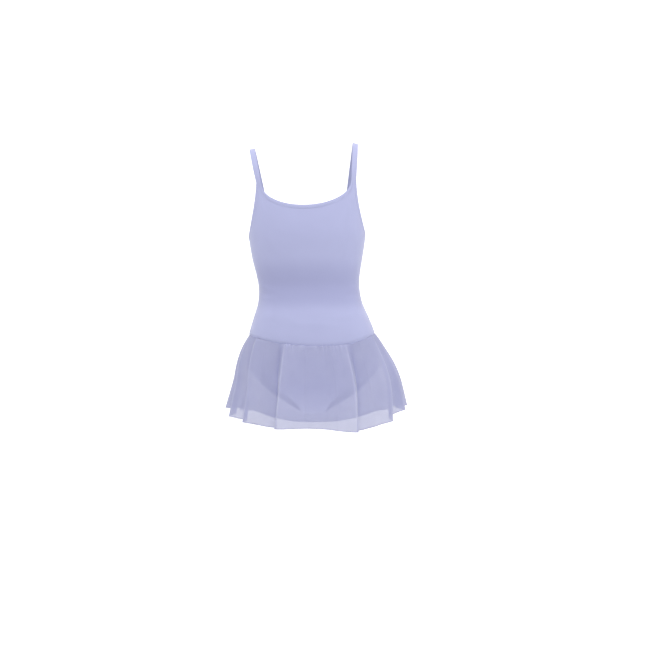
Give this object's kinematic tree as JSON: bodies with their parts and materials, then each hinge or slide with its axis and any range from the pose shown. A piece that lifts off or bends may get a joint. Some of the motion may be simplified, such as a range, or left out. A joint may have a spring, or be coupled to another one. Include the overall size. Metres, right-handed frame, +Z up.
{
  "type": "ballet dress",
  "caption": "Worn camisole ballet dress: fitted jersey bodice on thin straps, briefs, and a short sheer flared skirt set into a dropped hip seam.",
  "frame": {"origin": "midway between the highest points of the two shoulder straps, where the wearer's shoulders carry the dress", "axes": "+Z up, -Y towards the front, +X towards the wearer's left"},
  "size_m": [0.4208, 0.3321, 0.6547],
  "materials": {
    "jersey": "matt lavender stretch jersey",
    "edging": "the same jersey, turned and stitched",
    "chiffon": "sheer lavender chiffon"
  },
  "bodies": {
    "root": {"bodice_front": "jersey", "bodice_back": "jersey", "brief_front": "jersey", "brief_back": "jersey", "skirt_front": "chiffon", "skirt_back": "chiffon", "strap_left": "edging", "strap_right": "edging", "neck_band_front": "edging", "neck_band_back": "edging", "arm_band_left": "edging", "arm_band_right": "edging", "leg_band_left": "edging", "leg_band_right": "edging"}
  },
  "joints": []
}
